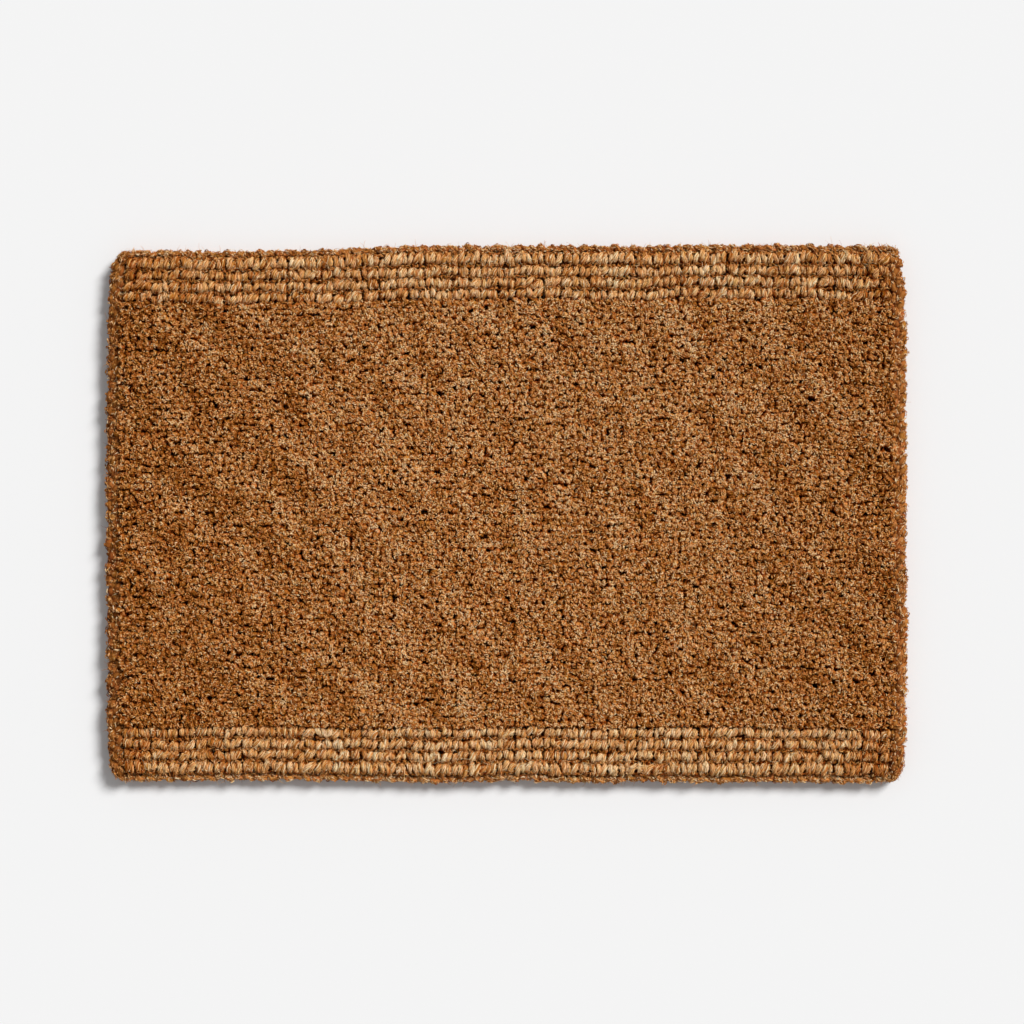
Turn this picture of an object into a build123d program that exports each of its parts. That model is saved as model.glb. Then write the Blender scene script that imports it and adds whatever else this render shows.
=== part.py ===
"""Hand-loomed coir door mat: loop rows and cut pile rows bound into a woven ground, with braided edges.

Millimetres. The mat lies flat with its underside at Z = 0 and its centre on the Z axis. X runs along the
pile rows, which is the mat's long way, and Y runs across them, along the warps.
"""

import os

from build123d import *

# Overall size
MAT_LENGTH = 914.0
MAT_WIDTH = 614.0

# Ground weave: warps on the floor, weft cords on the warps
STUFFER_COUNT = 41
STUFFER_WIDTH = 12.0
STUFFER_HEIGHT = 3.0
CHAIN_WIDTH = 5.0
CHAIN_HEIGHT = 2.4
CHAIN_LIFT = STUFFER_HEIGHT - CHAIN_HEIGHT
WARP_EDGE_RADIUS = 0.8
WEFT_DIAMETER = 4.4

# Pile rows: a narrow root between the weft cords, spreading to a full round crown
LOOP_ROWS_PER_EDGE = 4
CUT_ROWS = 36
LOOP_PITCH = 13.2
LOOP_CROWN_HEIGHT = 29.0
CUT_CROWN_HEIGHT = 30.0
ROOT_WIDTH = 6.8
SHOULDER_HEIGHT = 14.0
ROW_CLEARANCE = 0.3
ROW_END_RADIUS = 4.0

# Edge braids and the seam that holds them
SIDE_BRAID_WIDTH = 20.0
SIDE_BRAID_HEIGHT = 26.0
LONG_BRAID_WIDTH = 8.0
LONG_BRAID_HEIGHT = 21.0
BRAID_TOP_RADIUS = 3.4
BRAID_FOOT_RADIUS = 1.5
TWINE_DIAMETER = 2.5
TWINE_HEIGHT = 6.0

# Worked out from the above
SIDE_SEAM = MAT_LENGTH / 2 - SIDE_BRAID_WIDTH
LONG_SEAM = MAT_WIDTH / 2 - LONG_BRAID_WIDTH
FIELD_LENGTH = 2 * (SIDE_SEAM - TWINE_DIAMETER)
FIELD_WIDTH = 2 * (LONG_SEAM - TWINE_DIAMETER)
LOOP_BORDER = LOOP_ROWS_PER_EDGE * LOOP_PITCH
CUT_FIELD = FIELD_WIDTH - 2 * LOOP_BORDER
CUT_PITCH = CUT_FIELD / CUT_ROWS
WARP_PITCH = (FIELD_LENGTH - STUFFER_WIDTH) / (STUFFER_COUNT - 1)


def save(part, name):
    """Label a finished piece and write its STEP file."""
    part.label = name
    export_step(part, f"parts/{name}.step")


def centred_steps(count, pitch):
    """Places of count equal steps about zero, lowest first."""
    return [(index - (count - 1) / 2) * pitch for index in range(count)]


def section_plane_along_x(start_x, centre_y):
    """A plane whose sketch X is the mat's Y and whose sketch Y is up, for sections extruded along X."""
    return Plane(origin=(start_x, centre_y, 0), x_dir=(0, 1, 0), z_dir=(1, 0, 0))


def pile_row(centre_y, pitch, crown_height):
    """One row of pile yarn along X: a root at the weft, sloping shoulders and a half-round crown."""
    half_width = (pitch - ROW_CLEARANCE) / 2
    side_top = crown_height - half_width
    with BuildPart() as row:
        with BuildSketch(section_plane_along_x(-FIELD_LENGTH / 2, centre_y)):
            with BuildLine():
                Polyline(
                    (-half_width, side_top),
                    (-half_width, SHOULDER_HEIGHT),
                    (-ROOT_WIDTH / 2, STUFFER_HEIGHT),
                    (ROOT_WIDTH / 2, STUFFER_HEIGHT),
                    (half_width, SHOULDER_HEIGHT),
                    (half_width, side_top),
                )
                ThreePointArc((half_width, side_top), (0, crown_height), (-half_width, side_top))
            make_face()
        extrude(amount=FIELD_LENGTH)
        end_arcs = row.edges().filter_by(GeomType.CIRCLE)
        fillet(end_arcs, radius=ROW_END_RADIUS)
    return row.part


def side_braid(side):
    """A braid along Y at one end of the pile rows. It runs the mat's whole width, past the corner."""
    centre_x = side * (MAT_LENGTH - SIDE_BRAID_WIDTH) / 2
    with BuildPart() as braid:
        with BuildSketch(Plane(origin=(centre_x, MAT_WIDTH / 2, 0), x_dir=(1, 0, 0), z_dir=(0, -1, 0))):
            with Locations((0, SIDE_BRAID_HEIGHT / 2)):
                Rectangle(SIDE_BRAID_WIDTH, SIDE_BRAID_HEIGHT)
        extrude(amount=MAT_WIDTH)
        soften_braid(braid)
    return braid.part


def long_braid(side):
    """A braid along X at one long edge, ending against the two side braids."""
    centre_y = side * (MAT_WIDTH - LONG_BRAID_WIDTH) / 2
    with BuildPart() as braid:
        with BuildSketch(section_plane_along_x(-SIDE_SEAM, centre_y)):
            with Locations((0, LONG_BRAID_HEIGHT / 2)):
                Rectangle(LONG_BRAID_WIDTH, LONG_BRAID_HEIGHT)
        extrude(amount=2 * SIDE_SEAM)
        soften_braid(braid)
    return braid.part


def soften_braid(braid):
    """Round a braid's upper edges, then its foot, which keeps a flat strip to rest on."""
    fillet(braid.edges().group_by(Axis.Z)[-1], radius=BRAID_TOP_RADIUS)
    fillet(braid.edges().group_by(Axis.Z)[0], radius=BRAID_FOOT_RADIUS)


def warp_group(places_x, width, lift, height):
    """Parallel flat yarns along Y, each a separate bar with its upper long edges rounded."""
    with BuildPart() as warps:
        with BuildSketch(Plane.XY.offset(lift)):
            with Locations([(place, 0) for place in places_x]):
                Rectangle(width, FIELD_WIDTH)
        extrude(amount=height)
        upper_edges = warps.edges().filter_by(Axis.Y).group_by(Axis.Z)[-1]
        fillet(upper_edges, radius=WARP_EDGE_RADIUS)
    return warps.part


def weft_group(places_y):
    """Round cords along X, lying on the warps in the gaps between the roots of the pile rows."""
    with BuildPart() as wefts:
        with BuildSketch(section_plane_along_x(-FIELD_LENGTH / 2, 0)):
            with Locations([(place, STUFFER_HEIGHT + WEFT_DIAMETER / 2) for place in places_y]):
                Circle(WEFT_DIAMETER / 2)
        extrude(amount=FIELD_LENGTH)
    return wefts.part


def seam_twine():
    """The four lengths of sewing twine that lie in the seams between the braids and the woven mat."""
    seam_x = SIDE_SEAM - TWINE_DIAMETER / 2
    seam_y = LONG_SEAM - TWINE_DIAMETER / 2
    with BuildPart() as twine:
        with BuildSketch(Plane(origin=(0, LONG_SEAM, 0), x_dir=(1, 0, 0), z_dir=(0, -1, 0))):
            with Locations((-seam_x, TWINE_HEIGHT), (seam_x, TWINE_HEIGHT)):
                Circle(TWINE_DIAMETER / 2)
        extrude(amount=2 * LONG_SEAM)
        with BuildSketch(section_plane_along_x(-FIELD_LENGTH / 2, 0)):
            with Locations((-seam_y, TWINE_HEIGHT), (seam_y, TWINE_HEIGHT)):
                Circle(TWINE_DIAMETER / 2)
        extrude(amount=FIELD_LENGTH)
    return twine.part


def main():
    os.makedirs("parts", exist_ok=True)

    # The cut pile rows, numbered from the front edge to the back edge
    cut_places = centred_steps(CUT_ROWS, CUT_PITCH)
    for number, place in enumerate(cut_places, start=1):
        save(pile_row(place, CUT_PITCH, CUT_CROWN_HEIGHT), f"cut_pile_row_{number:02d}")

    # The loop rows on each long edge, numbered from the mat's edge inwards
    loop_places = []
    for edge_name, side in (("front", -1), ("back", 1)):
        for number in range(1, LOOP_ROWS_PER_EDGE + 1):
            place = side * (FIELD_WIDTH / 2 - (number - 0.5) * LOOP_PITCH)
            loop_places.append(place)
            save(pile_row(place, LOOP_PITCH, LOOP_CROWN_HEIGHT), f"loop_row_{edge_name}_{number}")

    # One weft cord between each two neighbouring rows of either kind
    row_places = sorted(cut_places + loop_places)
    weft_places = [(lower + upper) / 2 for lower, upper in zip(row_places, row_places[1:])]
    save(weft_group(weft_places), "weft_cords")

    # Stuffers alternate with chain yarns, with a stuffer on the mat's centre line and at both ends
    stuffer_places = centred_steps(STUFFER_COUNT, WARP_PITCH)
    chain_places = centred_steps(STUFFER_COUNT - 1, WARP_PITCH)
    save(warp_group(stuffer_places, STUFFER_WIDTH, 0, STUFFER_HEIGHT), "stuffer_warps")
    save(warp_group(chain_places, CHAIN_WIDTH, CHAIN_LIFT, CHAIN_HEIGHT), "chain_warps")

    save(side_braid(-1), "edge_braid_left")
    save(side_braid(1), "edge_braid_right")
    save(long_braid(-1), "edge_braid_front")
    save(long_braid(1), "edge_braid_back")
    save(seam_twine(), "sewing_twine")


main()
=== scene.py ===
import math
from typing import NamedTuple

import bpy
import numpy as np
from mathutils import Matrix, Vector


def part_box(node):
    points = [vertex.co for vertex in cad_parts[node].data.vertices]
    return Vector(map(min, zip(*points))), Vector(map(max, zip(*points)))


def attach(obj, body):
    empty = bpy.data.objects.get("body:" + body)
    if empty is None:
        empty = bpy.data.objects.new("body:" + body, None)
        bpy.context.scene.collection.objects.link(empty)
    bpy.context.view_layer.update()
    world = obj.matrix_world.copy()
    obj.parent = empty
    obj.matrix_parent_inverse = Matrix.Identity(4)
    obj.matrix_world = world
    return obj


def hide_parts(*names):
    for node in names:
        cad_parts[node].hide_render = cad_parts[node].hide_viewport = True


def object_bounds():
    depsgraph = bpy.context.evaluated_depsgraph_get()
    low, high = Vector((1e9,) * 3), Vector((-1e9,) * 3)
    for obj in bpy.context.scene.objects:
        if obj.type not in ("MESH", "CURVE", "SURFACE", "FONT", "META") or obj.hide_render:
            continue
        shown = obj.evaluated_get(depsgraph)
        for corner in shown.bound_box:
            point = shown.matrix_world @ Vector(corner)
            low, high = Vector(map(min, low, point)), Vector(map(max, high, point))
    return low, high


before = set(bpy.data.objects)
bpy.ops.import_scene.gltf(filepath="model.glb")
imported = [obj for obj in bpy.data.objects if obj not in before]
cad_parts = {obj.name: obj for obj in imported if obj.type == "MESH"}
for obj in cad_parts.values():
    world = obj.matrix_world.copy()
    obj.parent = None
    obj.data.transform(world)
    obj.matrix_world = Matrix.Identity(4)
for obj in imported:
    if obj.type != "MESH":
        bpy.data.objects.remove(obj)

cad_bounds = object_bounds()

# Lengths are in millimetres; meshes are scaled to metres when they are made.
MM = 0.001
TURN = 2 * math.pi
UP = np.array([0.0, 0.0, 1.0])
ALONG_X = np.array([1.0, 0.0, 0.0])


class Fibre(NamedTuple):
    """A kind of short fibre. length and radius are the least and the most that it may have."""

    length: tuple
    radius: tuple
    spread: float  # how far its shade strays from the tone of its place
    area: tuple  # the part of the UV square that it fills: left, bottom, right, top


# The outline's unevenness
BACK_LEFT_PULL = 9.0  # how far in along x the corners are drawn
CORNER_PULL = 5.0
CORNER_REACH = 34.0  # how far from a corner its pull fades
RIGHT_SIDE_BOW = 1.6
BACK_DIP = 6.5  # how far in the back edge lies to the left of its end
BACK_DIP_END = -190.0
FRONT_LIFT = 2.6  # how far in the front edge lies to the left of its end
FRONT_LIFT_END = -180.0
MIDDLE_LIFT = 1.2  # and near one place more
MIDDLE_LIFT_PLACE = 20.0
MIDDLE_LIFT_REACH = 45.0
CORNER_ROUNDING = (4.0, 5.0)
ROUNDING_REACH = 12.0

# Pile rows
ROW_OVERHANG = 1.5  # how far each row leans over the seam at its ends
STRAY_TONE = 0.65
WARP_PAIR_PITCH = 17.3  # loops and tufts bunch together between the warps

# Cut pile
TUFT_PITCH = 5.45  # between neighbouring yarns along a row
TUFT_BUNCHING = 0.5
LEG_STRAY = (0.7, 1.1)  # how far a leg strays from its place, along the row and across it
LEG_GATHER = 0.4  # how near to the row's middle the legs start
PLY_END_DEPTH = 2.6  # from the row's crown down to the ply ends, which their curls cover
PLY_SPREAD = 1.85  # from the middle of a leg's end to the middle of each of its two plies
PLY_STRAY = 0.6
PLY_UNEVENNESS = 0.7
PLY_RADII = (2.8, 3.5, 2.55)  # at the root, the shoulder and the end
PLY_GIRTHS = (0.85, 1.22)  # the least and the most that the radii are multiplied by
SHOULDER_HEIGHT = 0.86  # as a share of the ply end's height
SEAM_LEAN = 2.5  # how far the outermost tufts lean over the seam
SEAM_LEAN_REACH = 5.0
PIT_DEPTH = (1.2, 3.6)  # how far a sunk ply end lies below its neighbours
PIT_SHARE = 0.008  # of the ply ends, and more of them over the warps
PIT_SHARE_ON_WARP = 0.02
CUT_TONE = 0.51
# how much darker the ply cores are: painted shade in the gaps under the curls
CORE_PAINTED_SHADE = 0.28
CURLS_PER_PLY = 6  # visible fibres on each cut ply
# how much lighter the curls are than their ply: painted light on the top of the pile
CURLS_PAINTED_LIGHT = 0.09
CURLS = Fibre((1.4, 3.2), (0.36, 0.74), 0.26, (0, 0.3, 1, 0.88))
DEEP_PER_LEG = 1.5
DEEP_DEPTH = (3.6, 6.6)
# a dark tone for the deep fibres: painted shade between the yarns
DEEP_SHADED_TONE = 0.27
DEEP_FIBRES = Fibre((2.0, 3.8), (0.7, 1.3), 0.14, (0, 0.88, 1, 0.92))
COLUMNS_PER_STRAY = 3
CUT_STRAYS = Fibre((4, 13), (0.16, 0.30), 0.15, (0, 0.92, 1, 1))
CUT_STRAY_CURL = 0.5

# Loops: a middle darkened as painted shade, inside a ring of spun strands
LOOP_PITCH = 6.45  # between neighbouring loops along a row
LOOP_BUNCHING = 0.7
LOOP_STRAY = (0.5, 1.1)  # how far a loop strays from its place, along the row and across it
LOOP_SLANT = 0.5  # how far a loop's side lies along the row from its crown
LOOP_SLANT_SPREAD = 1.3
LOOP_GIRTHS = (0.92, 1.18)
LOOP_WIDTHS = (0.88, 1.12)
CROWN_UNEVENNESS = 0.7
LOOP_RINGS = 9
LOOP_LEG_START = 1 / 1.25  # where the arch ends and the legs start, as a share of the way from the crown
LOOP_ARCH = 5.0  # from the crown down to where the legs start
LOOP_LEG = 14.0
LOOP_CROWN_DEPTH = 3.2  # from the row's top down to the middle of the yarn at the crown
LOOP_SIDE_GAP = 2.4  # from the row's side in to the middle of the yarn
LOOP_SEAM_REACH = 1.6  # the outermost rows reach this many times as far over the seam
LOOP_TONE = 0.59
LOOP_STRANDS = 11
LOOP_STRAND_RADIUS = 0.54
LOOP_STRAND_OFFSET = 2.05  # from the middle of the yarn to the middle of each strand
LOOP_TWIST = 36.0  # length of one full turn of the strands
MIDDLE_RADIUS = 1.9
# how much darker the loops' middles are: painted shade between the strands
MIDDLE_PAINTED_SHADE = 0.4
FILLER_RADIUS = 0.58 * LOOP_PITCH
FILLER_DEPTH = 4.6  # from the yarn's middle at the crown down to the dark filler under it
# how much darker the filler is: painted shade in the loops' hollows
FILLER_PAINTED_SHADE = 0.24
END_FADE = (48.0, 24.0)  # loops turn brown from this far from the mat's end, over this length
FUZZ_PER_STRAND = 1.25
FUZZ_END_ZONE = 38.0
FUZZ_TONES = (0.40, 0.63, 0.40)  # near the left end, between the ends, near the right end
FUZZ_WANDER = 0.8
LOOP_FUZZ = Fibre((3.0, 7.0), (0.22, 0.45), 0.25, (0, 0.4, 1, 0.84))
GROOVE_PER_MM = 1.2
GROOVE_DEPTH = (3.5, 6.5)
# a dark tone for the groove fibres: painted shade in the grooves between the rows
GROOVE_SHADED_TONE = 0.38
GROOVE_FIBRES = Fibre((1.5, 4.0), (0.3, 0.7), 0.18, (0, 0.84, 1, 0.9))
LOOPS_PER_STRAY = 2
LOOP_STRAYS = Fibre((5, 15), (0.15, 0.28), 0.15, (0, 0.92, 1, 1))
LOOP_STRAY_CURL = 0.45

# Braids: three strands, each of a few twisted yarns
PLAIT_LENGTH = 36.0  # length of one full plait
STRAND_YARNS = 3
STRAND_TWIST = 34.0  # length of one full turn of the yarns in a strand
BRAID_RING_LENGTH = 2.6
YARN_OFFSET = 0.5  # from a strand's middle to its yarns' middles, as a share of its radius
YARN_RADIUS = 0.55  # as a share of the strand's
# how much darker the braid's core yarns are: painted shade under the fibres that cover them
BRAID_CORE_PAINTED_SHADE = 0.32
COARSE_PER_AREA = 0.22  # fibres for each square millimetre of the braid's top and outer side
FINE_PER_AREA = 0.15
COARSE_FIBRES = Fibre((4.0, 9.0), (0.4, 0.8), 0.32, (0, 0.3, 1, 0.6))
FINE_FIBRES = Fibre((3.0, 7.0), (0.28, 0.55), 0.32, (0, 0.6, 1, 0.86))
# how much lighter the fine fibres are: painted light on the braid's outermost fibres
FINE_PAINTED_LIGHT = 0.08
COARSE_WANDER = 0.5
FINE_WANDER = 1.4
SEAM_PER_MM = 1.8
# how much darker the seam fibres are: painted shade in the seam
SEAM_PAINTED_SHADE = 0.12
SEAM_FIBRES = Fibre((2.0, 4.0), (0.6, 1.1), 0.18, (0, 0.86, 1, 0.88))
FRAYED_PER_BRAID = 260
FRAYED_CURL = 0.7
FRAYED_FIBRES = Fibre((2.5, 6.5), (0.35, 0.8), 0.2, (0, 0.88, 1, 0.92))
BRAID_STRAYS_PER_MM = 0.14
BRAID_STRAY_CURL = 0.6
BRAID_STRAYS = Fibre((3, 10), (0.18, 0.32), 0.2, (0, 0.92, 1, 1))

# Ground weave
STUFFER_COUNT = 41
STUFFER_INSET = 6.0  # from the weave's side to the middle of the first stuffer
STUFFER_YARN_PLACES = (-4.5, -1.5, 1.5, 4.5)
CHAIN_YARN_PLACES = (-2.6, 0.0, 2.6)
GROUND_TONE = 0.45
GROUND_TWIST = 45.0
TWINE_RADIUS = 1.15
TWINE_INSET = 1.25
TWINE_RING_LENGTH = 3.0
STITCH_LENGTH = 14.0
STITCH_RISE = 0.9
TWINE_TONE = 0.6

# Coir's colours, from the darkest fibre to the palest
CUT_SHADES = (
    (0.0, (0.215, 0.056, 0.004)),
    (0.3, (0.465, 0.150, 0.023)),
    (0.6, (0.70, 0.289, 0.078)),
    (0.85, (0.83, 0.490, 0.200)),
    (1.0, (0.88, 0.620, 0.340)),
)
LOOP_SHADES = (
    (0.0, (0.32, 0.078, 0.004)),
    (0.3, (0.55, 0.210, 0.042)),
    (0.6, (0.83, 0.462, 0.186)),
    (0.85, (0.91, 0.655, 0.365)),
    (1.0, (0.93, 0.750, 0.480)),
)
BRAID_SHADES = (
    (0.0, (0.20, 0.055, 0.007)),
    (0.3, (0.44, 0.161, 0.037)),
    (0.6, (0.69, 0.312, 0.094)),
    (0.85, (0.83, 0.530, 0.245)),
    (1.0, (0.88, 0.670, 0.410)),
)
STREAK_SHARE = 0.5  # how much of a fibre's shade comes from streaks along it
PATCH_SHARE = 0.25  # and how much from where it is
HUE_SPREAD = 0.018

# Stage, in metres
FLOOR_REACH = 40.0
FLOOR_COLOUR = (0.835, 0.835, 0.835, 1)
FILL_STRENGTH = 0.33
KEY_STRENGTH = 3.3
KEY_ANGLE = 21.0  # degrees; wide, for soft shadows
TOWARDS_KEY = (0.64, 0.56, 0.88)
LENS = 100.0  # with the sensor's width, millimetres
SENSOR_WIDTH = 36.0
SEEN_WIDTH = 1.168
CAMERA_PLACE = (0.0057, 0.0017)
PILE_HEIGHT = 0.02


# ---- frame boxes

def box_mm(node):
    """A CAD node's lowest and highest corners in millimetres."""
    low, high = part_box(node)
    return np.array(low, float) / MM, np.array(high, float) / MM


MAT_LOW = np.array(cad_bounds[0], float) / MM
MAT_HIGH = np.array(cad_bounds[1], float) / MM
HALF_LENGTH = (MAT_HIGH[0] - MAT_LOW[0]) / 2
HALF_WIDTH = (MAT_HIGH[1] - MAT_LOW[1]) / 2
CUT_ROWS = sorted(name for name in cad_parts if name.startswith("cut_pile_row"))
LOOP_ROWS = sorted(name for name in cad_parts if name.startswith("loop_row"))


# ---- the mat's unevenness

def ripple(x, y, wavelength, seed, waves=5):
    """Smooth noise between about -1 and 1 over the mat, as a few sine waves in seeded directions."""
    rng = np.random.default_rng(seed)
    total = np.zeros(np.broadcast(x, y).shape)
    for _ in range(waves):
        angle = rng.uniform(0, TURN)
        length = wavelength * rng.uniform(0.6, 1.6)
        phase = rng.uniform(0, TURN)
        total = total + np.sin((x * math.cos(angle) + y * math.sin(angle)) * TURN / length + phase)
    return total / math.sqrt(waves * 2) * 1.2


def fall(place, middle, reach):
    """1 well to the left of the middle, 0 well to the right of it, and smooth between."""
    return 1 / (1 + np.exp((place - middle) / reach))


def shift_along(x, y, u, v):
    """How far each point moves along x: drawn-in corners, a bowed right side and gentle waves."""
    left = np.clip(-u, 0, 1) ** 3
    right = np.clip(u, 0, 1) ** 3
    corner = np.exp(-(HALF_WIDTH - np.abs(y)) / CORNER_REACH)
    drawn_in = left * corner * np.where(v > 0, BACK_LEFT_PULL, CORNER_PULL) - right * corner * CORNER_PULL
    bow = right * (RIGHT_SIDE_BOW * np.cos(v * math.pi / 2 + 0.25) - 1.5)
    side_waves = 0.8 * ripple(0 * y, y, 160, 3) * np.abs(u) ** 3
    waves = 0.9 * ripple(x * 0.7, y, 150, 7) * (1 - np.abs(u) ** 6)
    return drawn_in + bow + side_waves + waves


def shift_across(x, y, v):
    """How far each point moves along y: the back edge's dip, the front edge's lift and wavy rows."""
    back_dip = -np.clip(v, 0, 1) ** 2 * (BACK_DIP * fall(x, BACK_DIP_END, 28.0) + 1.0)
    middle_lift = MIDDLE_LIFT * np.exp(-((x - MIDDLE_LIFT_PLACE) / MIDDLE_LIFT_REACH) ** 2)
    front_lift = np.clip(-v, 0, 1) ** 2 * (FRONT_LIFT * fall(x, FRONT_LIFT_END, 22.0) + middle_lift)
    waves = 1.3 * ripple(x, y * 0.6, 210, 5) + 0.55 * ripple(x, y, 62, 6)
    return back_dip + front_lift + waves * (1 - 0.5 * np.abs(v) ** 6)


def hand_made(points):
    """Moves every point of the mat as the real one is uneven, so that all pieces are bent together."""
    x, y = points[..., 0], points[..., 1]
    u, v = x / HALF_LENGTH, y / HALF_WIDTH
    corner_gap = (HALF_LENGTH - np.abs(x)) + (HALF_WIDTH - np.abs(y))
    rounding = np.exp(-np.clip(corner_gap, 0, None) / ROUNDING_REACH)
    moved = points.copy()
    moved[..., 0] = x + shift_along(x, y, u, v) - CORNER_ROUNDING[0] * rounding * np.sign(x)
    moved[..., 1] = y + shift_across(x, y, v) - CORNER_ROUNDING[1] * rounding * np.sign(y)
    return moved


def tone_by_place(x, y):
    """How much lighter or darker the pile is from place to place: patchy, and darker at the mat's ends."""
    ends = (x / HALF_LENGTH - 0.14) ** 2
    wide_patches = 0.095 * ripple(x, y, 70, 11)
    small_patches = 0.045 * ripple(x, y, 24, 12)
    stripes = 0.03 * ripple(x, 0 * y, 38, 13)
    return 0.07 - 0.16 * ends + (wide_patches + small_patches + stripes)


def bunched(x, strength):
    """Moves places along a row towards the middles of the spaces between the warps."""
    return x - strength * np.sin(x / WARP_PAIR_PITCH * TURN)


# ---- fibre tubes

def unit(vectors):
    return vectors / np.maximum(np.linalg.norm(vectors, axis=-1, keepdims=True), 1e-9)


def side_directions(paths, hint):
    """The direction along each path at each of its points, and two directions across it."""
    tangents = unit(np.gradient(paths, axis=1))
    first = unit(np.cross(tangents, np.broadcast_to(hint, paths.shape)))
    return tangents, first, np.cross(tangents, first)


def loose_hint(paths, rng):
    """A direction that lies across each path, for fibres that point anywhere."""
    heading = unit(paths[:, -1] - paths[:, 0])
    return unit(np.cross(heading, rng.normal(size=heading.shape)))[:, None, :]


def run_along(paths):
    """How far along its path each point is."""
    steps = np.linalg.norm(np.diff(paths, axis=1), axis=2)
    return np.concatenate([np.zeros((len(paths), 1)), np.cumsum(steps, axis=1)], axis=1)


def straight_paths(starts, ends, rings):
    """Evenly spaced points from each start to each end."""
    step = np.linspace(0, 1, rings)[None, :, None]
    return starts[:, None, :] * (1 - step) + ends[:, None, :] * step


def twisted_plies(paths, hint, plies, offset, turn_length, phase):
    """Paths of the plies that wind round each given path."""
    run = run_along(paths)
    _, first, second = side_directions(paths, hint)
    made = []
    for ply in range(plies):
        angle = (run / turn_length + ply / plies) * TURN + phase[:, None]
        swing = np.cos(angle)[..., None] * first + np.sin(angle)[..., None] * second
        made.append(paths + np.broadcast_to(offset, run.shape)[..., None] * swing)
    return np.concatenate(made)


def wall_faces(rings, sides):
    """The four-cornered faces of one tube's wall, as point numbers, and their places in its UV cell."""
    ring, side = np.meshgrid(np.arange(rings - 1), np.arange(sides), indexing="ij")
    ring, side = ring.ravel(), side.ravel()
    here, beside = ring * sides + side, ring * sides + (side + 1) % sides
    quads = np.stack([here, beside, beside + sides, here + sides], axis=1)
    across = np.stack([side, side + 1, side + 1, side], axis=1) / sides
    upward = (np.stack([ring, ring, ring + 1, ring + 1], axis=1) + 0.5) / rings
    return quads, np.stack([across, upward], axis=2)


def end_faces(rings, sides):
    """The three-cornered faces that close one tube's two ends, and their places in its UV cell."""
    side = np.arange(sides)
    after = (side + 1) % sides
    last = (rings - 1) * sides
    root_index = np.full(sides, rings * sides)
    root_cap = np.stack([root_index, after, side], axis=1)
    tip_cap = np.stack([root_index + 1, last + side, last + after], axis=1)
    low, high = 0.5 / rings, 1 - 0.5 / rings
    root_across = np.stack([side + 0.5, side + 1, side], axis=1) / sides
    tip_across = np.stack([side + 0.5, side, side + 1], axis=1) / sides
    root_uv = np.stack([root_across, np.tile([0, low, low], (sides, 1))], axis=2)
    tip_uv = np.stack([tip_across, np.tile([1, high, high], (sides, 1))], axis=2)
    return np.concatenate([root_cap, tip_cap]), np.concatenate([root_uv, tip_uv])


def cells(count, area, lengthwise):
    """Where each tube's cell lies in the UV area, and the size of a cell."""
    left, bottom, right, top = area
    columns = 1 if lengthwise else math.ceil(math.sqrt(count * (right - left) / (top - bottom)))
    rows = math.ceil(count / columns)
    size = np.array([(right - left) / columns, (top - bottom) / rows])
    index = np.arange(count)
    corner = np.stack([index % columns, index // columns], axis=1) * size
    return corner + [left, bottom], size


def grain_places(paths, radii, angle, rng):
    """A place on the unrolled fibre for every point of a tube: its third number runs along the fibre.

    Each fibre's grain starts somewhere else, so that no two have the same streaks.
    """
    count, rings = radii.shape
    sides = len(angle)
    run = run_along(paths)
    grain = np.zeros((count, rings * sides + 2, 3))
    grain[:, :-2, 0] = (radii[:, :, None] * np.cos(angle)).reshape(count, -1)
    grain[:, :-2, 1] = (radii[:, :, None] * np.sin(angle)).reshape(count, -1)
    grain[:, :-2, 2] = np.repeat(run, sides, axis=1)
    grain[:, -1, 2] = run[:, -1]
    return grain + rng.uniform(0, 900, (count, 1, 3))


def tubes(
    paths, radii, sides, tint, hint, area, rng,
    flat=1.0, lumps=0.0, dome=0.7, ends=None, lengthwise=False,
):
    """Closed tubes along many paths at once.

    paths is (tubes, rings, 3), radii is (tubes, rings) and tint is one shade from 0 to 1 for each tube.
    area is the part of the UV square that they fill, a cell for each tube, and lengthwise stacks long cells
    in one column. flat squashes a tube, lumps makes it uneven, dome is how far its rounded ends reach, in
    radii, and ends are the points that pointed ends close to.
    """
    count, rings = radii.shape
    tangents, first, second = side_directions(paths, hint)
    angle = np.arange(sides) / sides * TURN
    around = np.cos(angle)[:, None] * first[:, :, None, :]
    around = around + np.reshape(flat, (-1, 1, 1, 1)) * np.sin(angle)[:, None] * second[:, :, None, :]
    swell = radii[:, :, None, None] * (1 + lumps * rng.uniform(-1, 1, (count, rings, sides, 1)))
    shell = (paths[:, :, None, :] + swell * around).reshape(count, rings * sides, 3)
    if ends is None:
        root = paths[:, 0] - tangents[:, 0] * radii[:, :1] * dome
        tip = paths[:, -1] + tangents[:, -1] * radii[:, -1:] * dome
        ends = (root, tip)
    points = np.concatenate([shell, ends[0][:, None], ends[1][:, None]], axis=1)
    per_tube = rings * sides + 2

    quads, quad_uv = wall_faces(rings, sides)
    caps, cap_uv = end_faces(rings, sides)
    if lengthwise:
        quad_uv, cap_uv = quad_uv[..., ::-1], cap_uv[..., ::-1]
    start = (np.arange(count) * per_tube)[:, None, None]
    cell_origin, cell_size = cells(count, area, lengthwise)
    cell_origin = cell_origin[:, None, None, :]
    return {
        "points": points.reshape(-1, 3),
        "quads": (quads[None] + start).reshape(-1, 4),
        "caps": (caps[None] + start).reshape(-1, 3),
        "quad_uv": (cell_origin + (0.08 + 0.84 * quad_uv[None]) * cell_size).reshape(-1, 2),
        "cap_uv": (cell_origin + (0.08 + 0.84 * cap_uv[None]) * cell_size).reshape(-1, 2),
        "tint": np.repeat(tint, per_tube),
        "grain": grain_places(paths, radii, angle, rng).reshape(-1, 3),
    }


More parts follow.
